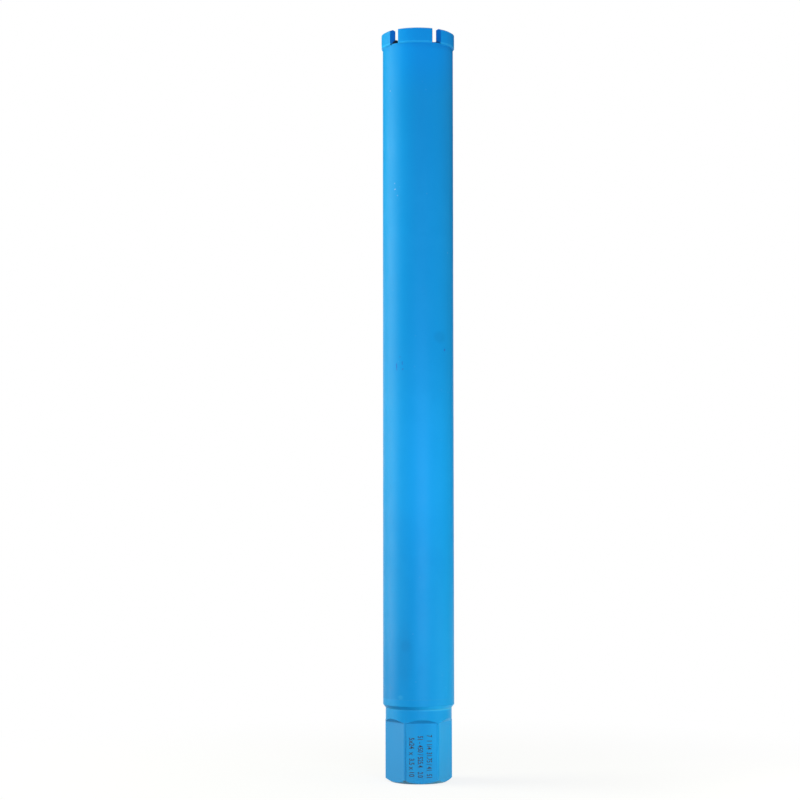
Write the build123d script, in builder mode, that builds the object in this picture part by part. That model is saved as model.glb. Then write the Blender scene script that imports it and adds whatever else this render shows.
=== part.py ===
from build123d import *
from math import asin, cos, degrees, radians, sin, tan
import os

# Diamond core bit for wet drilling, standing on its spindle end. Lengths are in millimetres.
# +Z is the axis of rotation and runs from the spindle end to the cutting end.
# The origin is the centre of the spindle end face. Angle 0 faces -Y, and angles grow towards +X.

# Cutting ring
CUTTING_DIAMETER = 51.5
SEGMENT_COUNT = 5
SEGMENT_LENGTH = 24.0
SEGMENT_THICKNESS = 3.5
SEGMENT_HEIGHT = 10.0
FIRST_SEGMENT_ANGLE = -5.5
ROOF_RISE = 1.0
RIDGE_RADIUS = 0.4
END_EDGE_RADIUS = 0.2

# Weld fillet at the foot of each segment, which bridges the step between segment and barrel:
# how far below the rim it leaves the segment's face, and how far below it meets the barrel
WELD_START = 0.2
WELD_FOOT = 1.2

# Barrel
BARREL_DIAMETER = 49.7
BARREL_WALL = 2.0
RIM_HEIGHT = 515.5

# Adaptor, from the spindle end up
HEX_ACROSS_FLATS = 41.0
HEX_CORNER_DIAMETER = 46.5
FLAT_COUNT = 6
FIRST_FLAT_ANGLE = 5.0
FLAT_HEIGHT = 41.7
RUN_OUT_SLOPE = 45.0
END_CHAMFER_HEIGHT = 2.3
END_CHAMFER_SLOPE = 32.0
COLLAR_DIAMETER = 46.1
COLLAR_START = 42.6
FLANGE_BOTTOM = 51.0
FLANGE_CHAMFER_HEIGHT = 2.4
FLANGE_TOP = 58.0
SPIGOT_TOP = 75.3
SPIGOT_EDGE = 1.0

# Spindle thread, 1 1/4 inch - 7 UNC, as a plain bore of its nominal diameter
THREAD_DIAMETER = 31.75
LEAD_IN = 1.3
THREAD_END = 38.0
RELIEF_END = 42.0
RELIEF_DEPTH = 0.6
WATERWAY_DIAMETER = 26.0
WATERWAY_EDGE = 1.5

# Overshoot of cutting tools past the metal they cut, and of each segment's sweep in degrees
CLEAR = 2.0
SWEEP_CLEAR = 2.0

cutting_radius = CUTTING_DIAMETER / 2
core_radius = cutting_radius - SEGMENT_THICKNESS
barrel_radius = BARREL_DIAMETER / 2
barrel_bore = barrel_radius - BARREL_WALL
corner_radius = HEX_CORNER_DIAMETER / 2
collar_radius = COLLAR_DIAMETER / 2
flat_distance = HEX_ACROSS_FLATS / 2
thread_radius = THREAD_DIAMETER / 2
waterway_radius = WATERWAY_DIAMETER / 2
tip_height = RIM_HEIGHT + SEGMENT_HEIGHT


def radial_plane(angle):
    """The plane through the axis at an angle: local x is the radius and local y is the height."""
    turn = radians(angle)
    return Plane(
        origin=(0, 0, 0),
        x_dir=(sin(turn), -cos(turn), 0),
        z_dir=(-cos(turn), -sin(turn), 0),
    )


def level_plane(angle, height):
    """The level plane at a height, with its local x along the radius at an angle."""
    turn = radians(angle)
    return Plane(origin=(0, 0, height), x_dir=(sin(turn), -cos(turn), 0), z_dir=(0, 0, 1))


os.makedirs("parts", exist_ok=True)


def write(piece, name):
    piece.part.label = name
    export_step(piece.part, f"parts/{name}.step")


# Adaptor: one turned piece with the spindle thread, the flange that the barrel sits on,
# the spigot that centres the barrel, and the water way
with BuildPart() as adaptor:
    with BuildSketch(radial_plane(0)):
        end_face_radius = corner_radius - END_CHAMFER_HEIGHT / tan(radians(END_CHAMFER_SLOPE))
        with BuildLine():
            Polyline(
                (thread_radius + LEAD_IN, 0),
                (end_face_radius, 0),
                (corner_radius, END_CHAMFER_HEIGHT),
                (corner_radius, COLLAR_START),
                (collar_radius, COLLAR_START + corner_radius - collar_radius),
                (collar_radius, FLANGE_BOTTOM),
                (barrel_radius, FLANGE_BOTTOM + FLANGE_CHAMFER_HEIGHT),
                (barrel_radius, FLANGE_TOP),
                (barrel_bore, FLANGE_TOP),
                (barrel_bore, SPIGOT_TOP - SPIGOT_EDGE),
                (barrel_bore - SPIGOT_EDGE, SPIGOT_TOP),
                (waterway_radius + WATERWAY_EDGE, SPIGOT_TOP),
                (waterway_radius, SPIGOT_TOP - WATERWAY_EDGE),
                (waterway_radius, RELIEF_END),
                (thread_radius + RELIEF_DEPTH, RELIEF_END),
                (thread_radius + RELIEF_DEPTH, THREAD_END),
                (thread_radius, THREAD_END - RELIEF_DEPTH),
                (thread_radius, LEAD_IN),
                close=True,
            )
        make_face()
    revolve(axis=Axis.Z)

    # Spanner flats, each milled up the bar and sloping out again into the collar
    for number in range(FLAT_COUNT):
        with BuildSketch(radial_plane(FIRST_FLAT_ANGLE + number * 360 / FLAT_COUNT)):
            run_out_width = corner_radius - flat_distance + CLEAR
            run_out_top = FLAT_HEIGHT + run_out_width * tan(radians(RUN_OUT_SLOPE))
            with BuildLine():
                Polyline(
                    (flat_distance, -CLEAR),
                    (flat_distance, FLAT_HEIGHT),
                    (flat_distance + run_out_width, run_out_top),
                    (flat_distance + run_out_width, -CLEAR),
                    close=True,
                )
            make_face()
        extrude(amount=corner_radius / 2 + CLEAR, both=True, mode=Mode.SUBTRACT)
write(adaptor, "adaptor")

# Barrel: drawn tube, square at both ends, welded to the flange
with BuildPart() as barrel_tube:
    with BuildSketch(Plane.XY.offset(FLANGE_TOP)):
        Circle(barrel_radius)
        Circle(barrel_bore, mode=Mode.SUBTRACT)
    extrude(amount=RIM_HEIGHT - FLANGE_TOP)
write(barrel_tube, "barrel_tube")

# Segments: each curved with the ring, its two ends square to its own middle and its top a roof
half_sweep = degrees(asin(SEGMENT_LENGTH / 2 / core_radius)) + SWEEP_CLEAR
for number in range(SEGMENT_COUNT):
    middle_angle = FIRST_SEGMENT_ANGLE + number * 360 / SEGMENT_COUNT
    with BuildPart() as segment:
        with BuildSketch(radial_plane(middle_angle - half_sweep)) as section:
            with BuildLine():
                Polyline(
                    (core_radius, RIM_HEIGHT),
                    (barrel_radius, RIM_HEIGHT),
                    (barrel_radius, RIM_HEIGHT - WELD_FOOT),
                    (cutting_radius, RIM_HEIGHT - WELD_START),
                    (cutting_radius, tip_height - ROOF_RISE),
                    (cutting_radius - SEGMENT_THICKNESS / 2, tip_height),
                    (core_radius, tip_height - ROOF_RISE),
                    close=True,
                )
            make_face()
            fillet(section.vertices().sort_by(Axis.Y)[-1], radius=RIDGE_RADIUS)
        revolve(axis=Axis.Z, revolution_arc=2 * half_sweep)

        with BuildSketch(level_plane(middle_angle, RIM_HEIGHT - WELD_FOOT - CLEAR)):
            Rectangle(
                cutting_radius + CLEAR, SEGMENT_LENGTH, align=(Align.MIN, Align.CENTER)
            )
        extrude(amount=SEGMENT_HEIGHT + WELD_FOOT + 2 * CLEAR, mode=Mode.INTERSECT)
        end_edges = segment.edges().filter_by(Axis.Z)
        fillet(end_edges, radius=END_EDGE_RADIUS)
    write(segment, f"segment_{number + 1}")
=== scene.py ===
from math import cos, pi, radians, sin

import bmesh
import bpy
from mathutils import Matrix, Vector, noise


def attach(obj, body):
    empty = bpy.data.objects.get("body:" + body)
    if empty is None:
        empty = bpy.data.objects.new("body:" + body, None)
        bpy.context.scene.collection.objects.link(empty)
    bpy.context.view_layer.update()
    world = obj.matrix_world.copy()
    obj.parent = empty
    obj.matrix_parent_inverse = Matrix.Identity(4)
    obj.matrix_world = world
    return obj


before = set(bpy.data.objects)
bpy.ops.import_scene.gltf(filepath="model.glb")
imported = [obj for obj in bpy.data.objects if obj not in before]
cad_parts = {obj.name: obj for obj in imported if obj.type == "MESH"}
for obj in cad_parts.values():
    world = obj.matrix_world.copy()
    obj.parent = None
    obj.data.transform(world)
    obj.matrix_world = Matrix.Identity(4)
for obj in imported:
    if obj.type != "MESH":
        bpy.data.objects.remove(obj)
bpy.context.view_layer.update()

MM = 0.001
BODY = "root"

# ---------------------------------------------------------------- sizes of the CAD part, in metres
BARREL_RADIUS = 24.85 * MM
BARREL_BORE = 22.85 * MM
CORE_RADIUS = 22.25 * MM
CUTTING_RADIUS = 25.75 * MM
RIM_HEIGHT = 515.5 * MM
WELD_FOOT = 1.2 * MM
FLAT_DISTANCE = 20.5 * MM
FLAT_ANGLE = radians(5.0)
CORNER_RADIUS = 23.25 * MM
END_CHAMFER = 2.3 * MM
FLANGE_BOTTOM = 51.0 * MM
FLANGE_TOP = 58.0 * MM
THREAD_RADIUS = 15.875 * MM
THREAD_PITCH = 25.4 / 7 * MM
THREAD_LEAD_IN = 1.3 * MM
THREAD_END = 37.4 * MM

# ---------------------------------------------------------------- colours, linear
SKY_BLUE = (0.0050, 0.305, 0.745, 1)
SKY_BLUE_LIGHT = (0.0075, 0.322, 0.770, 1)
SKY_BLUE_DEEP = (0.0035, 0.285, 0.720, 1)
# Painted highlight near the top of the barrel's front and on the segments
TOP_HIGHLIGHT_BLUE = (0.0025, 0.318, 0.900, 1)
# Painted highlight on the flats, the right run-out and the flange's chamfer
BRIGHT_BLUE = (0.015, 0.430, 0.960, 1)
# Painted highlight on the weld bead at the segments' foot
BEAD_HIGHLIGHT_BLUE = (0.018, 0.420, 0.930, 1)
# Painted shadow under the segment ring
RING_SHADOW_BLUE = (0.0030, 0.225, 0.680, 1)
# Painted highlight in a line under the flange's chamfer
FLANGE_HIGHLIGHT_BLUE = (0.038, 0.425, 0.830, 1)
# Painted light on the end chamfer
PALE_BLUE = (0.110, 0.520, 0.840, 1)
# Painted shade on the left flat
LEFT_FLAT_SHADE_BLUE = (0.022, 0.270, 0.715, 1)
SHADED_BLUE = (0.0035, 0.262, 0.680, 1)
# Painted shade on the segments' cut ends
CUT_END_SHADE_BLUE = (0.0010, 0.135, 0.570, 1)
SCUFF_BLUE = (0.020, 0.125, 0.560, 1)
CHIP_WHITE = (0.62, 0.74, 0.82, 1)
SMUDGE_DARK = (0.006, 0.215, 0.560, 1)
SMUDGE_LIGHT = (0.045, 0.400, 0.760, 1)
EDGE_SHADE = (0.010, 0.165, 0.440, 1)
WORN_GREY = (0.080, 0.185, 0.280, 1)
# A grey film low on the flats, and painted shade on the run-outs in front
FILM_AND_SHADE_GREY = (0.060, 0.240, 0.480, 1)
# Painted grey sheen on the flats to the left
PALE_GREY = (0.060, 0.340, 0.560, 1)
BARE_STEEL = (0.20, 0.19, 0.185, 1)
OILED_STEEL = (0.065, 0.060, 0.056, 1)
SINTER_DARK = (0.030, 0.027, 0.025, 1)
SINTER_LIGHT = (0.110, 0.098, 0.085, 1)
DIAMOND_GREY = (0.300, 0.310, 0.220, 1)
# Painted shade in the slots: on the rim's top and low on the cut ends
SLOT_SHADE_DARK = (0.006, 0.008, 0.014, 1)
# Painted shade: the dark lump in the left slot
LUMP_SHADE_BLUE = (0.008, 0.022, 0.050, 1)
INK = (0.045, 0.032, 0.026, 1)
WHITE = (1, 1, 1, 1)

# Specular level of everything painted or inked. The dark lump of painted shade in the left slot has
# none.
SATIN = 0.1
MATT = 0.0
# How metallic the bare steel is: drawn, as in the barrel, and machined
DRAWN = 0.85
MACHINED = 0.9
# How much rougher the segments' coat is than the rest
SEGMENT_ROUGHER = 0.04
# How much paint has settled on the inside of the segments
MIST = 1.2

# ---------------------------------------------------------------- handling marks
# Each mark: colour, angle round the axis in degrees, height, half width and half height in
# millimetres, and how much of the colour shows at its middle.
BARREL_MARKS = (
    (CHIP_WHITE, -41.7, 416.5, 0.45, 0.55, 0.32),
    (CHIP_WHITE, -40.6, 412.3, 0.65, 0.45, 0.42),
    (CHIP_WHITE, -35.4, 407.8, 0.40, 0.60, 0.16),
    (CHIP_WHITE, -52.1, 482.4, 0.50, 0.50, 0.40),
    (CHIP_WHITE, 55.5, 368.2, 0.40, 0.40, 0.20),
    (SCUFF_BLUE, -37.9, 288.3, 0.60, 2.60, 0.80),
    (SCUFF_BLUE, -27.0, 290.2, 0.50, 1.60, 0.65),
    (SCUFF_BLUE, -26.3, 286.2, 0.70, 0.60, 0.70),
    (SCUFF_BLUE, -31.3, 294.7, 0.50, 0.60, 0.45),
    (SCUFF_BLUE, 47.1, 299.9, 0.75, 0.85, 1.00),
    (SMUDGE_DARK, 37.0, 308.7, 5.00, 4.00, 0.30),
    (SMUDGE_DARK, -21.8, 95.0, 3.80, 4.40, 0.30),
    (SMUDGE_DARK, -23.0, 90.0, 6.50, 20.0, 0.24),
    (SMUDGE_LIGHT, -30.9, 59.6, 2.00, 1.40, 0.35),
)
CORNER_MARKS = (
    (EDGE_SHADE, -23.2, 22.0, 0.55, 20.0, 0.55),
    (EDGE_SHADE, -23.2, 8.0, 0.60, 10.0, 0.40),
    (WORN_GREY, -24.6, 2.0, 1.50, 1.10, 0.75),
    (SMUDGE_DARK, 33.2, 41.2, 0.55, 0.55, 0.90),
)
# Twice as far as a mark's outline may stray, and where it starts to fade and where it ends, as
# parts of its half size
RAGGED = 1.6 * MM
MARK_FADE = (0.5, 1.4)

# ---------------------------------------------------------------- where each tint shows
# Each stretch: where a tint starts, where it ends, and how much shows at the one and the other,
# 0 and 1 if it doesn't say. UP stretches are heights. ACROSS stretches run from the left to the
# right of the front. The others are a distance from the axis, or what their own comment says.
# Painted light and shade, fixed to the part in every view: the highlight near the top, the shade
# on the barrel's lower left and under the segment ring, the tints of the flats to the left and
# high up on the right, the run-outs, both chamfers, the line under the flange, the weld bead, the
# cut ends, the slot floors and the EDGE_SHADE marks.
# Painted highlight near the top of the barrel's front and on the segments, weaker to the left
TOP_HIGHLIGHT_UP = (470 * MM, 512 * MM, 0.0, 0.65)
TOP_HIGHLIGHT_ACROSS = (-22 * MM, -7 * MM, 0.2, 1.0)

BARREL_INSIDE = (BARREL_BORE + 0.2 * MM, BARREL_BORE + 0.3 * MM, 1.0, 0.0)
SHADED_UP = (60 * MM, 135 * MM, 0.85, 0.0)
SHADED_ACROSS = (-20 * MM, -4 * MM, 1.0, 0.0)
# Painted shadow under the segment ring, stronger to the right
RING_SHADOW_UP = (RIM_HEIGHT - WELD_FOOT - 4.5 * MM, RIM_HEIGHT - WELD_FOOT, 0.0, 0.55)
RING_SHADOW_ACROSS = (2 * MM, 14 * MM, 0.45, 1.0)
# Painted shade on the rim's top, which shows at the floors of the slots
SLOT_FLOOR_SHADE_UP = (RIM_HEIGHT - 0.3 * MM, RIM_HEIGHT - 0.1 * MM)
OVERSPRAY_UP = (RIM_HEIGHT - 70 * MM, RIM_HEIGHT + 10 * MM, 0.0, 0.75)

SEGMENT_INSIDE = (CORE_RADIUS + 0.1 * MM, CORE_RADIUS + 0.3 * MM, 1.0, 0.0)
SEGMENT_OUTSIDE = (BARREL_RADIUS - 0.1 * MM, BARREL_RADIUS + 0.1 * MM)
# How much a face looks away from the axis, plus how much it looks up, which is least on a cut end
CUT_END = (0.65, 0.90, 1.0, 0.0)
# How much painted shade darkens the cut ends
CUT_END_SHADE_AMOUNT = 0.85
# Heights above the rim
# The weld bead at the segments' foot, which carries a painted highlight
BEAD_FOOT_UP = (-0.8 * MM, -0.5 * MM)
BEAD_TOP_UP = (0.5 * MM, 0.8 * MM, 1.0, 0.0)
# Painted shade low on the cut ends in the slots, stronger to the left
SLOT_SHADE_UP = (-0.4 * MM, 0.3 * MM, 1.0, 0.0)
MIST_UP = (-2 * MM, 10 * MM, 0.15, 1.0)
SLOT_SHADE_ACROSS = (0.0, 10 * MM, 1.0, 0.4)
# How much higher the painted shade on the cut ends reaches for each millimetre inwards, and how far
# its edge strays
SLOT_SHADE_CLIMB = 0.7
SLOT_SHADE_STRAY = 0.5 * MM

# Painted light on the end chamfer, which looks down
END_CHAMFER_UP = (END_CHAMFER + 0.1 * MM, END_CHAMFER + 0.3 * MM, 1.0, 0.0)
FILM_UP = (1 * MM, 24 * MM, 0.30, 0.0)
FLATS_UP = (41.5 * MM, 43 * MM, 1.0, 0.0)
# Painted shade on the left flat, a painted grey sheen to the left, and a painted highlight high up
# on the right
LEFT_FLAT_SHADE_ACROSS = (-10 * MM, -9 * MM, 0.6, 0.0)
GREYED_ACROSS = (-9 * MM, 3 * MM, 0.15, 0.0)
BRIGHTER_ACROSS = (2 * MM, 14 * MM, 0.0, 0.45)
BRIGHTER_UP = (12 * MM, 34 * MM, 0.45, 1.0)
RIGHT_FLAT_ACROSS = (14.5 * MM, 15.2 * MM, 1.0, 0.5)
OFF_CORNER = (CORNER_RADIUS - 0.4 * MM, CORNER_RADIUS - 0.1 * MM, 1.0, 0.1)
# How much a face looks up or down: first as the run-outs and the flange's chamfer do, and then
# as the end chamfer does
SLOPING = (0.45, 0.58)
FACING_DOWN = (0.6, 0.8, 0.0, 0.8)
RUN_OUT_FOOT_UP = (38 * MM, 39 * MM)
RUN_OUT_TOP_UP = (46 * MM, 47 * MM, 1.0, 0.0)
# Painted shade on the run-outs in front, and a painted highlight on the right run-out
FRONT_RUN_OUT_ACROSS = (-13 * MM, -11 * MM, 0.0, 0.16)
RIGHT_RUN_OUT_ACROSS = (13.5 * MM, 15 * MM)
# Painted light on the flange's chamfer, more to the right
FLANGE_CHAMFER_UP = (50 * MM, 50.5 * MM)
FLANGE_CHAMFER_ACROSS = (-8 * MM, 13 * MM)
# Height of the middle of the painted highlight line, just under the flange's chamfer, and distance
# from it
FLANGE_HIGHLIGHT_MIDDLE = FLANGE_BOTTOM - 0.15 * MM
FLANGE_HIGHLIGHT_SPREAD = (0.30 * MM, 0.95 * MM, 1.0, 0.0)
FLANGE_HIGHLIGHT_ACROSS = (-4 * MM, 14 * MM, 0.22, 0.95)
BORED = (17.2 * MM, 17.6 * MM, 1.0, 0.0)
END_FACE_UP = (0.05 * MM, 0.25 * MM, 1.0, 0.0)
SPIGOT_UP = (FLANGE_TOP - 0.1 * MM, FLANGE_TOP + 0.1 * MM)


class Graph:
    """A node tree, with one short call for each kind of node that is used here."""

    def __init__(self, owner, output="ShaderNodeOutputMaterial"):
        owner.use_nodes = True
        self.owner = owner
        self.tree = owner.node_tree
        self.tree.nodes.clear()
        self.output = self.tree.nodes.new(output)
        self.place = self.tree.nodes.new("ShaderNodeTexCoord").outputs["Object"]

    def node(self, kind, settings=None, inputs=None):
        made = self.tree.nodes.new(kind)
        for name, value in (settings or {}).items():
            setattr(made, name, value)
        for name, value in (inputs or {}).items():
            self.feed(made.inputs[name], value)
        return made

    def feed(self, socket, value):
        if isinstance(value, bpy.types.NodeSocket):
            self.tree.links.new(value, socket)
        else:
            socket.default_value = value

    def math(self, operation, first, second=0.0):
        made = self.node("ShaderNodeMath", {"operation": operation}, {0: first, 1: second})
        return made.outputs[0]

    def times(self, first, *others):
        for other in others:
            first = self.math("MULTIPLY", first, other)
        return first

    def vector(self, operation, *values):
        """The outputs of a vector operation on one, two or three values."""
        settings = {"operation": operation}
        return self.node("ShaderNodeVectorMath", settings, dict(enumerate(values))).outputs

    def ramp(self, value, start, end, low=0.0, high=1.0):
        """A smooth step of value from start to end, as a number from low to high."""
        settings = {"interpolation_type": "SMOOTHSTEP"}
        inputs = {"Value": value, "From Min": start, "From Max": end, "To Min": low, "To Max": high}
        return self.node("ShaderNodeMapRange", settings, inputs).outputs["Result"]

    def noise(self, scale, detail=3.0, roughness=0.5, where=None, output="Fac"):
        inputs = {
            "Vector": self.place if where is None else where,
            "Scale": scale,
            "Detail": detail,
            "Roughness": roughness,
        }
        return self.node("ShaderNodeTexNoise", None, inputs).outputs[output]

    def uneven(self, low, high, within=(0.3, 0.7), **named):
        """A blotchy amount from low to high, which it reaches at the two ends of within."""
        return self.ramp(self.noise(**named), *within, low, high)

    def dots(self, scale, start, end, amount):
        """Scattered dots of an amount, which fade from start to end, in parts of their spacing."""
        inputs = {"Vector": self.place, "Scale": scale}
        cells = self.node("ShaderNodeTexVoronoi", None, inputs)
        return self.ramp(cells.outputs["Distance"], start, end, amount, 0.0)

    def blend(self, amount, first, second):
        made = self.node("ShaderNodeMix", {"data_type": "RGBA"}, {0: amount})
        self.feed(made.inputs[6], first)
        self.feed(made.inputs[7], second)
        return made.outputs[2]

    def stretched(self, x, y, z):
        """The place with each axis multiplied, for grain that runs one way."""
        return self.vector("MULTIPLY", self.place, (x, y, z))[0]

    def radius(self):
        """Distance from the axis of rotation."""
        return self.vector("LENGTH", self.stretched(1, 1, 0))["Value"]

    def axis(self, name):
        return self.node("ShaderNodeSeparateXYZ", None, {0: self.place}).outputs[name]

    def height(self):
        return self.axis("Z")

    def up(self, stretch):
        """How much shows at each height."""
        return self.ramp(self.height(), *stretch)

    def across(self, stretch):
        """How much shows from the left to the right of the front."""
        return self.ramp(self.axis("X"), *stretch)

    def round_axis(self, stretch):
        """How much shows at each distance from the axis."""
        return self.ramp(self.radius(), *stretch)

    def facing(self):
        """How much a face looks straight away from the axis, or straight at it, from 0 to 1."""
        outward = self.vector("NORMALIZE", self.stretched(1, 1, 0))[0]
        normal = self.node("ShaderNodeNewGeometry").outputs["Normal"]
        return self.math("ABSOLUTE", self.vector("DOT_PRODUCT", outward, normal)["Value"])

    def level(self):
        """How much a face looks straight up or down, from 0 to 1."""
        normal = self.node("ShaderNodeNewGeometry").outputs["Normal"]
        up = self.node("ShaderNodeSeparateXYZ", None, {0: normal}).outputs["Z"]
        return self.math("ABSOLUTE", up)

    def bump(self, height, distance, strength, under=None):
        inputs = {"Height": height, "Distance": distance, "Strength": strength}
        if under is not None:
            inputs["Normal"] = under
        return self.node("ShaderNodeBump", None, inputs).outputs["Normal"]

    def surface(self, **inputs):
        """A principled surface, with each input's name written with underscores for spaces."""
        named = {name.replace("_", " "): value for name, value in inputs.items()}
        shader = self.node("ShaderNodeBsdfPrincipled", None, named)
        self.feed(self.output.inputs["Surface"], shader.outputs[0])
        return self.owner

    def seen(self):
        """1 for a ray that looks at the white studio, and 0 for one that gathers its light."""
        path = self.node("ShaderNodeLightPath").outputs
        seen = self.math("MAXIMUM", path["Is Camera Ray"], path["Is Glossy Ray"])
        return self.math("MAXIMUM", seen, path["Is Transmission Ray"])

    def mixed_surface(self, amount, first, second):
        """A surface of two shaders, with an amount of the second."""
        mixed = self.node("ShaderNodeMixShader", None, {0: amount})
        self.feed(mixed.inputs[1], first.outputs[0])
        self.feed(mixed.inputs[2], second.outputs[0])
        self.feed(self.output.inputs["Surface"], mixed.outputs[0])


def material_graph(name):
    return Graph(bpy.data.materials.new(name))


# ---------------------------------------------------------------- paint
def sprayed_paint(graph):
    """Colour, roughness and normal of the satin sky-blue coat."""
    drift = graph.uneven(0.0, 1.0, within=(0.35, 0.65), scale=9, detail=2)
    mottle = graph.uneven(0.15, 0.75, scale=70, detail=4, roughness=0.6)
    colour = graph.blend(drift, SKY_BLUE_DEEP, SKY_BLUE_LIGHT)
    colour = graph.blend(mottle, colour, SKY_BLUE)
    dust = graph.dots(scale=110, start=0.03, end=0.05, amount=0.03)
    colour = graph.blend(dust, colour, WHITE)
    # Painted highlight near the top, weaker to the left
    top_highlight = graph.times(graph.up(TOP_HIGHLIGHT_UP), graph.across(TOP_HIGHLIGHT_ACROSS))
    colour = graph.blend(top_highlight, colour, TOP_HIGHLIGHT_BLUE)
    satin = graph.uneven(0.36, 0.46, scale=38, detail=5, roughness=0.65)
    waves = graph.bump(graph.noise(scale=60, detail=2), distance=0.12 * MM, strength=0.35)
    peel = graph.noise(scale=950, detail=2, roughness=0.4)
    return colour, satin, graph.bump(peel, distance=0.02 * MM, strength=0.5, under=waves)


def handling_marks(graph, colour, marks, radius):
    """The colour with each small chip, scuff and smudge of a round piece laid over it."""
    ragged = graph.noise(scale=1100, output="Color")
    place = graph.vector("MULTIPLY_ADD", ragged, (RAGGED, RAGGED, RAGGED), graph.place)[0]
    strayed = Vector((RAGGED, RAGGED, RAGGED)) / 2
    for tint, angle, height, half_width, half_height, amount in marks:
        turn = radians(angle)
        middle = Vector((radius * sin(turn), -radius * cos(turn), height * MM))
        away = graph.vector("SUBTRACT", place, middle + strayed)[0]
        spans = (1 / (half_width * MM), 1 / (half_width * MM), 1 / (half_height * MM))
        distance = graph.vector("LENGTH", graph.vector("MULTIPLY", away, spans)[0])["Value"]
        colour = graph.blend(graph.ramp(distance, *MARK_FADE, amount, 0.0), colour, tint)
    return colour


def barrel_lining(graph):
    """Colour of the dark drawn steel inside the barrel, and how much overspray covers it."""
    drifted = graph.uneven(0.55, 1.0, within=(0.2, 0.8), scale=45, detail=2)
    speckled = graph.uneven(0.7, 1.0, within=(0.35, 0.65), scale=900, detail=5, roughness=0.7)
    overspray = graph.times(graph.up(OVERSPRAY_UP), drifted, speckled)
    along = graph.stretched(1, 1, 0.04)
    drawn = graph.noise(scale=240, detail=3, roughness=0.6, where=along)
    steel = graph.blend(drawn, OILED_STEEL, BARE_STEEL)
    return graph.blend(overspray, steel, SKY_BLUE_DEEP), overspray


def barrel_paint():
    """Blue outside, with painted shade on its lower left, a painted shadow under the segment ring
    and painted shade on the rim's top at the slots; dark drawn steel inside.
    """
    graph = material_graph("barrel_paint")
    colour, roughness, normal = sprayed_paint(graph)
    shaded = graph.times(graph.up(SHADED_UP), graph.across(SHADED_ACROSS))
    colour = graph.blend(shaded, colour, SHADED_BLUE)
    colour = handling_marks(graph, colour, BARREL_MARKS, BARREL_RADIUS)
    blotched = graph.uneven(0.6, 1.0, within=(0.3, 0.6), scale=90)
    # Painted shadow under the segment ring, blotchy and stronger to the right
    ring_shadow = graph.times(graph.up(RING_SHADOW_UP), blotched, graph.across(RING_SHADOW_ACROSS))
    colour = graph.blend(ring_shadow, colour, RING_SHADOW_BLUE)
    # Painted shade on the rim's top at the floors of the slots
    colour = graph.blend(graph.up(SLOT_FLOOR_SHADE_UP), colour, SLOT_SHADE_DARK)

    inside = graph.round_axis(BARREL_INSIDE)
    lining, overspray = barrel_lining(graph)
    bare = graph.times(inside, graph.math("SUBTRACT", 1.0, overspray))
    return graph.surface(
        Base_Color=graph.blend(inside, colour, lining),
        Roughness=roughness,
        Metallic=graph.times(bare, DRAWN),
        Specular_IOR_Level=SATIN,
        Normal=normal,
    )


def sintered_metal(graph, above_rim):
    """Colour of the inside of a segment: diamond grit in metal, misted with paint near its top."""
    matrix = graph.noise(scale=1300, detail=4, roughness=0.7)
    colour = graph.blend(matrix, SINTER_DARK, SINTER_LIGHT)
    stones = graph.dots(scale=1100, start=0.16, end=0.24, amount=0.7)
    colour = graph.blend(stones, colour, DIAMOND_GREY)
    mist = graph.noise(scale=220, detail=6, roughness=0.7)
    mist = graph.times(mist, MIST, graph.ramp(above_rim, *MIST_UP))
    return graph.blend(mist, colour, SKY_BLUE_DEEP)


def segment_paint():
    """The same coat over sintered metal, bare towards the core, with a painted highlight on the
    weld bead at its foot, and painted shade on its cut ends low in the slots.
    """
    graph = material_graph("segment_paint")
    colour, roughness, normal = sprayed_paint(graph)
    above_rim = graph.math("SUBTRACT", graph.height(), RIM_HEIGHT)
    cut_end = graph.ramp(graph.math("ADD", graph.facing(), graph.level()), *CUT_END)
    # Painted shade on the segments' cut ends
    colour = graph.blend(graph.times(cut_end, CUT_END_SHADE_AMOUNT), colour, CUT_END_SHADE_BLUE)

    # Painted highlight on the weld bead at the segments' foot
    bead_top = graph.ramp(above_rim, *BEAD_TOP_UP)
    bead_foot = graph.ramp(above_rim, *BEAD_FOOT_UP)
    blotched = graph.uneven(0.7, 1.0, within=(0.3, 0.6), scale=260)
    bead_highlight = graph.times(bead_top, bead_foot, graph.round_axis(SEGMENT_OUTSIDE), blotched)
    colour = graph.blend(bead_highlight, colour, BEAD_HIGHLIGHT_BLUE)

    # Painted shade low on the cut ends in the slots, reaching higher towards the core
    climbed = graph.times(graph.math("SUBTRACT", CUTTING_RADIUS, graph.radius()), SLOT_SHADE_CLIMB)
    strayed = graph.uneven(-SLOT_SHADE_STRAY, SLOT_SHADE_STRAY, scale=700, detail=4, roughness=0.6)
    over_slot_shade = graph.math("ADD", graph.math("SUBTRACT", above_rim, climbed), strayed)
    slot_shade = graph.times(graph.ramp(over_slot_shade, *SLOT_SHADE_UP), graph.across(SLOT_SHADE_ACROSS), cut_end)
    colour = graph.blend(slot_shade, colour, SLOT_SHADE_DARK)

    inside = graph.round_axis(SEGMENT_INSIDE)
    grit = graph.noise(scale=1700, detail=3, roughness=0.6)
    return graph.surface(
        Base_Color=graph.blend(inside, colour, sintered_metal(graph, above_rim)),
        Roughness=graph.math("ADD", roughness, SEGMENT_ROUGHER),
        Specular_IOR_Level=SATIN,
        Normal=graph.bump(grit, distance=0.06 * MM, strength=0.5, under=normal),
    )


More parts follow.
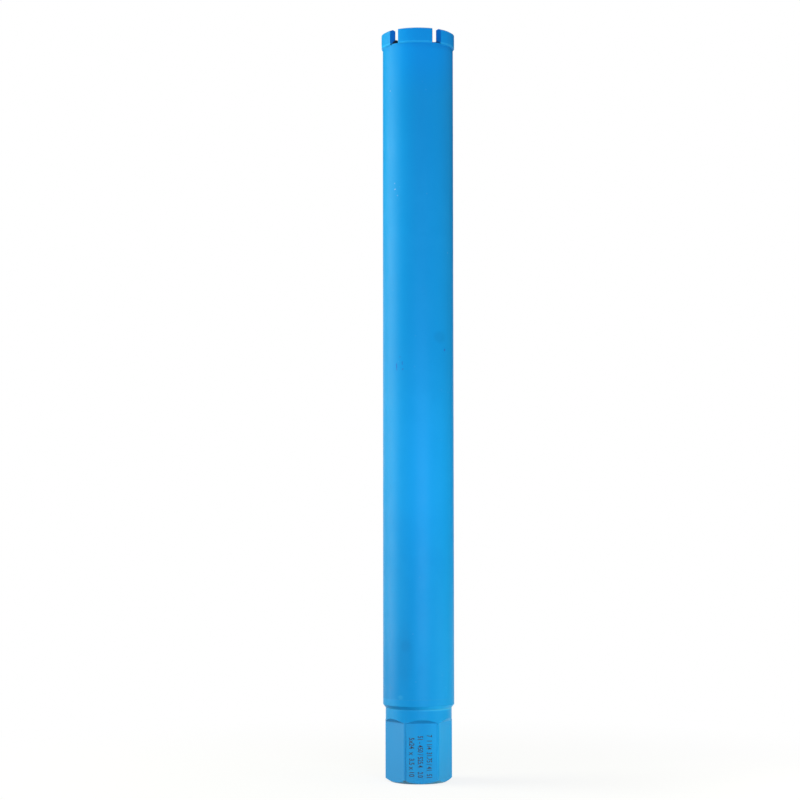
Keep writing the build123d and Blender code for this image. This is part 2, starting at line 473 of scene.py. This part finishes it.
def tinted_flats(graph, colour):
    """The flats: greyed by a film low down, with painted shade and a painted grey sheen to the
    left, and a painted highlight high up and to the right.
    """
    grime = graph.uneven(0.5, 1.0, scale=130, detail=4, roughness=0.6)
    colour = graph.blend(graph.times(graph.up(FILM_UP), grime), colour, FILM_AND_SHADE_GREY)
    on_flats = graph.up(FLATS_UP)
    # Painted shade on the left flat
    left_flat_shade = graph.times(graph.across(LEFT_FLAT_SHADE_ACROSS), on_flats)
    colour = graph.blend(left_flat_shade, colour, LEFT_FLAT_SHADE_BLUE)
    # Painted grey sheen to the left
    greyed = graph.times(graph.across(GREYED_ACROSS), on_flats)
    colour = graph.blend(greyed, colour, PALE_GREY)
    # Painted highlight high up on the right
    brighter = graph.times(graph.across(BRIGHTER_ACROSS), graph.up(BRIGHTER_UP), on_flats)
    brighter = graph.times(
        brighter, graph.across(RIGHT_FLAT_ACROSS), graph.round_axis(OFF_CORNER)
    )
    return graph.blend(brighter, colour, BRIGHT_BLUE)


def tinted_slopes(graph, colour):
    """The run-outs, the flange's chamfer and the end chamfer, which all look down: painted shade on
    the run-outs in front, and painted light on the right run-out and on both chamfers.
    """
    sloping = graph.ramp(graph.level(), *SLOPING)
    run_out = graph.times(sloping, graph.up(RUN_OUT_FOOT_UP), graph.up(RUN_OUT_TOP_UP))
    # Painted shade on the run-outs in front
    in_front = graph.times(run_out, graph.across(FRONT_RUN_OUT_ACROSS))
    colour = graph.blend(in_front, colour, FILM_AND_SHADE_GREY)
    # Painted highlight on the right run-out
    at_right = graph.times(run_out, graph.across(RIGHT_RUN_OUT_ACROSS))
    colour = graph.blend(at_right, colour, BRIGHT_BLUE)
    # Painted light on the flange's chamfer, more to the right
    flange_side = graph.across(FLANGE_CHAMFER_ACROSS)
    chamfer = graph.times(sloping, graph.up(FLANGE_CHAMFER_UP), flange_side)
    colour = graph.blend(chamfer, colour, BRIGHT_BLUE)
    # Painted light on the end chamfer, which looks down
    near_end = graph.up(END_CHAMFER_UP)
    end_chamfer = graph.times(graph.ramp(graph.level(), *FACING_DOWN), near_end)
    return graph.blend(end_chamfer, colour, PALE_BLUE)


def flange_highlight_line(graph, colour):
    """A painted highlight: a light line under the flange, which grows to the right."""
    away = graph.math("ABSOLUTE", graph.math("SUBTRACT", graph.height(), FLANGE_HIGHLIGHT_MIDDLE))
    flange_highlight = graph.times(graph.ramp(away, *FLANGE_HIGHLIGHT_SPREAD), graph.across(FLANGE_HIGHLIGHT_ACROSS))
    return graph.blend(flange_highlight, colour, FLANGE_HIGHLIGHT_BLUE)


def adaptor_paint():
    """Blue outside; bare machined steel in the thread, the water way and the worn end face."""
    graph = material_graph("adaptor_paint")
    colour, roughness, normal = sprayed_paint(graph)
    colour = tinted_slopes(graph, tinted_flats(graph, colour))
    colour = handling_marks(graph, colour, CORNER_MARKS, CORNER_RADIUS)
    # Painted highlight under the flange's chamfer
    colour = flange_highlight_line(graph, colour)

    patches = graph.uneven(0.0, 1.0, within=(0.42, 0.58), scale=220, detail=5, roughness=0.7)
    worn = graph.times(graph.up(END_FACE_UP), patches)
    machined = graph.math("MAXIMUM", graph.round_axis(BORED), graph.up(SPIGOT_UP))
    bare = graph.math("MAXIMUM", machined, worn)
    turned = graph.noise(scale=900, detail=2, where=graph.stretched(0.02, 0.02, 1))
    steel = graph.blend(turned, OILED_STEEL, BARE_STEEL)
    return graph.surface(
        Base_Color=graph.blend(bare, colour, steel),
        Roughness=roughness,
        Metallic=graph.times(bare, MACHINED),
        Specular_IOR_Level=SATIN,
        Normal=normal,
    )


# ---------------------------------------------------------------- other materials
def thread_steel():
    graph = material_graph("thread_steel")
    cut = graph.noise(scale=1400, detail=2, where=graph.stretched(0.05, 0.05, 1))
    return graph.surface(
        Base_Color=graph.blend(cut, OILED_STEEL, BARE_STEEL),
        Roughness=graph.ramp(cut, 0.3, 0.7, 0.28, 0.42),
        Metallic=MACHINED,
        Normal=graph.bump(cut, distance=0.01 * MM, strength=0.4),
    )


def marking_ink():
    graph = material_graph("marking_ink")
    patchy = graph.noise(scale=1500, detail=3, roughness=0.6)
    worn = graph.ramp(patchy, 0.35, 0.75, 0.0, 0.25)
    return graph.surface(
        Base_Color=graph.blend(worn, INK, SKY_BLUE_DEEP),
        Roughness=graph.ramp(patchy, 0.3, 0.7, 0.45, 0.6),
        Specular_IOR_Level=SATIN,
    )


# Dark surface of the lump of painted shade in the left slot
def lump_shade():
    graph = material_graph("lump_shade")
    flecks = graph.noise(scale=1800, detail=4, roughness=0.6)
    return graph.surface(
        Base_Color=graph.blend(graph.ramp(flecks, 0.4, 0.8), SLOT_SHADE_DARK, LUMP_SHADE_BLUE),
        Roughness=graph.ramp(flecks, 0.3, 0.7, 0.55, 0.8),
        Specular_IOR_Level=MATT,
        Normal=graph.bump(flecks, distance=0.05 * MM, strength=0.6),
    )


def dress(node, material):
    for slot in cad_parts[node].material_slots:
        slot.material = material


def add_piece(mesh, material):
    mesh.materials.append(material)
    piece = bpy.data.objects.new(mesh.name, mesh)
    bpy.context.scene.collection.objects.link(piece)
    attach(piece, BODY)


# ---------------------------------------------------------------- spindle thread
STEPS_PER_TURN = 72
# Depth of the ridge and half its width at the bore and at its crest, in pitches
RIDGE_DEPTH = 0.536
RIDGE_BASE = 7 / 16
RIDGE_CREST = 1 / 8
RIDGE_SUNK = 0.05 * MM
RIDGE_INTO_LEAD_IN = 0.3 * MM
RUN_OUT_TURNS = 0.5
LEAST_GROWN = 0.02


def thread_ridge():
    """The ridge of the female thread, wound up the bore as one closed strip."""
    base_half = THREAD_PITCH * RIDGE_BASE
    crest_half = THREAD_PITCH * RIDGE_CREST
    start = THREAD_LEAD_IN + base_half - RIDGE_INTO_LEAD_IN
    turns = (THREAD_END - base_half - start) / THREAD_PITCH
    steps = int(turns * STEPS_PER_TURN)
    root = THREAD_RADIUS + RIDGE_SUNK
    points = []
    faces = []
    for step in range(steps + 1):
        turn = step / STEPS_PER_TURN
        angle = 2 * pi * turn
        middle = start + THREAD_PITCH * turn
        from_ends = min(turn, turns - turn)
        grown = min(1.0, from_ends / RUN_OUT_TURNS + LEAST_GROWN)
        crest = THREAD_RADIUS - THREAD_PITCH * RIDGE_DEPTH * grown
        section = (
            (root, middle - base_half * grown),
            (crest, middle - crest_half * grown),
            (crest, middle + crest_half * grown),
            (root, middle + base_half * grown),
        )
        points += [(r * cos(angle), r * sin(angle), z) for r, z in section]
    for step in range(steps):
        near, far = 4 * step, 4 * (step + 1)
        for corner in range(4):
            following = (corner + 1) % 4
            faces.append((near + corner, near + following, far + following, far + corner))
    faces.append((3, 2, 1, 0))
    faces.append(tuple(4 * steps + corner for corner in range(4)))
    mesh = bpy.data.meshes.new("spindle_thread")
    mesh.from_pydata(points, [], faces)
    add_piece(mesh, thread_steel())


# ---------------------------------------------------------------- dark lump of painted shade in the left slot
LUMP_ANGLE = radians(-41.0)
# Half its size along the rim, through the wall and upwards
LUMP_HALF = (2.7 * MM, 0.80 * MM, 2.3 * MM)
# How uneven it is, how fine the unevenness is, and how much of its lower half is left
LUMP_SWELL = 0.14
LUMP_SWELL_SCALE = 2.2
LUMP_SUNK = 0.1


def shade_lump():
    """A dark uneven lump that sits on the rim, sunk to its middle: painted shade in the left slot.
    """
    lump = bmesh.new()
    bmesh.ops.create_icosphere(lump, subdivisions=4, radius=1.0)
    outward = Vector((sin(LUMP_ANGLE), -cos(LUMP_ANGLE), 0))
    along = Vector((cos(LUMP_ANGLE), sin(LUMP_ANGLE), 0))
    wall_middle = (BARREL_RADIUS + BARREL_BORE) / 2
    for point in lump.verts:
        swell = 1 + LUMP_SWELL * noise.noise(point.co * LUMP_SWELL_SCALE)
        side, depth, rise = (swell * half * part for half, part in zip(LUMP_HALF, point.co))
        rise = max(rise, LUMP_SUNK * rise)
        place = along * side + outward * (wall_middle + depth)
        point.co = (place.x, place.y, RIM_HEIGHT + rise)
    mesh = bpy.data.meshes.new("shade_lump")
    lump.to_mesh(mesh)
    lump.free()
    mesh.shade_smooth()
    add_piece(mesh, lump_shade())


# ---------------------------------------------------------------- size numbers on the front flat
# Each row: its text, where its middle sits across the flat, and the heights of its two ends.
NUMBER_ROWS = (
    ("7  1 1/4  31.75 / 41  51", 5.1 * MM, 33.9 * MM, 4.7 * MM),
    ("51 - 450 / 525.4   2.0", -1.1 * MM, 33.3 * MM, 4.8 * MM),
    ("5x24  x  3.5 x 10", -7.1 * MM, 32.2 * MM, 5.5 * MM),
)
FIGURE_HEIGHT = 3.5 * MM
# Height of a figure as a part of the font's own size
FONT_HEIGHT_RATIO = 0.69
STROKE_GROWTH = 0.070 * MM
INK_THICKNESS = 0.02 * MM


def size_numbers(ink):
    """Rows of plain numbers that read down the front flat, each spread to its own length."""
    across = Vector((cos(FLAT_ANGLE), sin(FLAT_ANGLE), 0))
    outward = Vector((sin(FLAT_ANGLE), -cos(FLAT_ANGLE), 0))
    down = Vector((0, 0, -1))
    for index, (text, middle, top, bottom) in enumerate(NUMBER_ROWS):
        curve = bpy.data.curves.new(f"numbers_{index + 1}", "FONT")
        curve.body = text
        curve.align_y = "CENTER"
        curve.size = FIGURE_HEIGHT / FONT_HEIGHT_RATIO
        curve.offset = STROKE_GROWTH
        curve.extrude = INK_THICKNESS
        curve.materials.append(ink)
        piece = bpy.data.objects.new(f"numbers_{index + 1}", curve)
        bpy.context.scene.collection.objects.link(piece)
        bpy.context.view_layer.update()
        spread = (top - bottom) / piece.dimensions.x
        place = outward * FLAT_DISTANCE + across * middle + Vector((0, 0, top))
        turn = Matrix((down * spread, across, outward)).transposed().to_4x4()
        piece.matrix_world = Matrix.Translation(place) @ turn
        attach(piece, BODY)


# ---------------------------------------------------------------- floor, flags and world
FLOOR_PALE = (0.9, 0.9, 0.9, 1)
FLOOR_GREY = (0.3, 0.3, 0.3, 1)
FLOOR_HALF = 6.0
FLOOR_DROP = 0.05 * MM
# Distance from the axis, and how much of the floor is plain white there
FLOOR_WHITE = (60 * MM, 450 * MM, 0.80, 1.0)

# Each dark card: its name, its first and last angle in degrees, and its lower edge.
FLAGS = (
    ("front_flag", -62, 154, 0.0),
    ("rear_flag", 154, 234, 0.6),
)
FLAG_RADIUS = 1.9
FLAG_TOP = 2.0
FLAG_STEP = 4
FLAG_BLACK = (0.03, 0.03, 0.03, 1)

WORLD_SOFT = (0.96, 0.98, 0.91, 1)
WORLD_STRENGTH = 0.5


def stage_floor():
    """White where it is looked at, with the object's shadow kept close round its foot."""
    graph = material_graph("floor")
    seen = graph.seen()
    tone = graph.blend(seen, FLOOR_GREY, FLOOR_PALE)
    matt = graph.node("ShaderNodeBsdfDiffuse", None, {"Color": tone})
    glow = graph.node("ShaderNodeEmission", None, {"Color": WHITE, "Strength": 1.0})
    graph.mixed_surface(graph.times(seen, graph.round_axis(FLOOR_WHITE)), matt, glow)
    mesh = bpy.data.meshes.new("floor")
    corners = [(-1, -1), (1, -1), (1, 1), (-1, 1)]
    points = [(x * FLOOR_HALF, y * FLOOR_HALF, 0) for x, y in corners]
    mesh.from_pydata(points, [], [(0, 1, 2, 3)])
    mesh.materials.append(graph.owner)
    floor = bpy.data.objects.new("floor", mesh)
    floor.location.z = -FLOOR_DROP
    bpy.context.scene.collection.objects.link(floor)


def stage_flags():
    """Dark curved cards that only reflections see, so that the paint keeps its depth of colour."""
    graph = material_graph("flag")
    matt = graph.node("ShaderNodeBsdfDiffuse", None, {"Color": FLAG_BLACK})
    graph.feed(graph.output.inputs["Surface"], matt.outputs[0])
    for name, start, end, bottom in FLAGS:
        steps = (end - start) // FLAG_STEP
        points = []
        for step in range(steps + 1):
            angle = radians(start + FLAG_STEP * step)
            x, y = FLAG_RADIUS * sin(angle), -FLAG_RADIUS * cos(angle)
            points += [(x, y, bottom), (x, y, FLAG_TOP)]
        faces = [(2 * n, 2 * n + 2, 2 * n + 3, 2 * n + 1) for n in range(steps)]
        mesh = bpy.data.meshes.new(name)
        mesh.from_pydata(points, [], faces)
        mesh.materials.append(graph.owner)
        flag = bpy.data.objects.new(name, mesh)
        flag.visible_camera = False
        flag.visible_diffuse = False
        flag.visible_shadow = False
        flag.visible_transmission = False
        bpy.context.scene.collection.objects.link(flag)


def stage_world():
    """White where it is looked at, and an even grey where it lights the object."""
    graph = Graph(bpy.data.worlds.new("studio"), "ShaderNodeOutputWorld")
    inputs = {"Color": WORLD_SOFT, "Strength": WORLD_STRENGTH}
    soft = graph.node("ShaderNodeBackground", None, inputs)
    white = graph.node("ShaderNodeBackground", None, {"Color": WHITE, "Strength": 1.0})
    graph.mixed_surface(graph.seen(), soft, white)
    bpy.context.scene.world = graph.owner


# ---------------------------------------------------------------- lights
PLAIN = (1.0, 1.0, 1.0)
WARM = (1.0, 1.0, 0.87)
WARMER = (1.0, 1.0, 0.67)
COOL = (0.75, 0.79, 1.0)
# Each soft box: name, angle round the axis in degrees, distance, height, width and height of the
# box, height it is aimed at, power, colour, and whether it lights the paint, its gloss or both.
SOFT_BOXES = (
    ("left_upper", -95, 0.75, 0.68, (0.55, 0.50), 0.62, 4.10, WARM, "diffuse"),
    ("left_lower", -95, 0.75, 0.36, (0.55, 0.50), 0.36, 3.02, WARMER, "both"),
    ("left_foot", -95, 0.75, 0.06, (0.55, 0.11), 0.06, 1.75, PLAIN, "gloss"),
    ("left_front_foot", -45, 0.60, 0.08, (0.30, 0.16), 0.06, 0.28, PLAIN, "gloss"),
    ("front_foot", 15, 0.60, 0.10, (0.40, 0.16), 0.05, 0.60, PLAIN, "gloss"),
    ("front_upper", 10, 0.90, 0.45, (0.60, 0.50), 0.45, 3.60, COOL, "diffuse"),
    ("front_low", 12, 0.45, 0.13, (0.25, 0.20), 0.13, 0.34, WARM, "both"),
    ("right_low", 62, 0.60, 0.05, (0.35, 0.30), 0.08, 0.48, WARMER, "diffuse"),
    ("right_foot", 75, 0.35, 0.02, (0.25, 0.12), 0.05, 0.68, WARMER, "diffuse"),
)
# Each spot lamp on the barrel's front: name, beam in degrees, share of the beam's width that is
# kept, radius of the lamp, power and aim. They stand together and light the paint, not its gloss.
SPOTS = (
    ("front_patch", 6, 1.0, 0.03, 7.2, (0, 0, 0.215)),
    ("patch_fringe", 9, 1.0, 0.03, 1.57, (0, 0, 0.222)),
    ("front_strip", 18, 0.05, 0.003, 5.2, (0.5 * MM, -BARREL_RADIUS, 0.190)),
)
SPOT_PLACE = (0.2257, -1.2803, 0.05)


def hang(light, place, aim):
    """A lamp at its place, turned to its aim, that no camera sees."""
    fixture = bpy.data.objects.new(light.name, light)
    fixture.location = place
    fixture.rotation_euler = (Vector(aim) - Vector(place)).to_track_quat("-Z", "Y").to_euler()
    fixture.visible_camera = False
    bpy.context.scene.collection.objects.link(fixture)
    return fixture


def stage_lights():
    """Soft boxes that stand round the object and face its axis, and spots on the barrel's front."""
    for name, angle, distance, height, size, aim, power, colour, lights in SOFT_BOXES:
        light = bpy.data.lights.new(name, "AREA")
        light.shape = "RECTANGLE"
        light.size, light.size_y = size
        light.energy, light.color = power, colour
        turn = radians(angle)
        box = hang(light, (distance * sin(turn), -distance * cos(turn), height), (0, 0, aim))
        box.visible_glossy = lights != "diffuse"
        box.visible_diffuse = lights != "gloss"
    for name, beam, kept_width, radius, power, aim in SPOTS:
        light = bpy.data.lights.new(name, "SPOT")
        light.spot_size, light.spot_blend = radians(beam), 1.0
        light.shadow_soft_size = radius
        light.energy = power
        spot = hang(light, SPOT_PLACE, aim)
        spot.scale.x = kept_width
        spot.visible_glossy = False


# ---------------------------------------------------------------- camera
PHOTO_WIDTH_PIXELS = 800
FOCAL_LENGTH_PIXELS = 2036.6
SENSOR_WIDTH = 36.0
CAMERA_PLACE = (-12.88 * MM, -1.4325, 191.64 * MM)
CAMERA_TILT = radians(2.967)
CAMERA_ROLL = radians(-0.052)
CLIP_START, CLIP_END = 0.05, 50


def stage_camera():
    """The photograph's view: just below mid height, looking slightly up."""
    data = bpy.data.cameras.new("camera")
    data.sensor_width = SENSOR_WIDTH
    data.lens = SENSOR_WIDTH * FOCAL_LENGTH_PIXELS / PHOTO_WIDTH_PIXELS
    data.clip_start, data.clip_end = CLIP_START, CLIP_END
    camera = bpy.data.objects.new("camera", data)
    tilt = Matrix.Rotation(pi / 2 + CAMERA_TILT, 4, "X")
    roll = Matrix.Rotation(CAMERA_ROLL, 4, "Z")
    camera.matrix_world = Matrix.Translation(CAMERA_PLACE) @ tilt @ roll
    bpy.context.scene.collection.objects.link(camera)
    bpy.context.scene.camera = camera


# ---------------------------------------------------------------- the scene
dress("barrel_tube", barrel_paint())
dress("adaptor", adaptor_paint())
segment_coat = segment_paint()
for number in range(1, 6):
    dress(f"segment_{number}", segment_coat)
thread_ridge()
shade_lump()
size_numbers(marking_ink())
stage_floor()
stage_flags()
stage_world()
stage_lights()
stage_camera()
bpy.context.scene.view_settings.view_transform = "Standard"
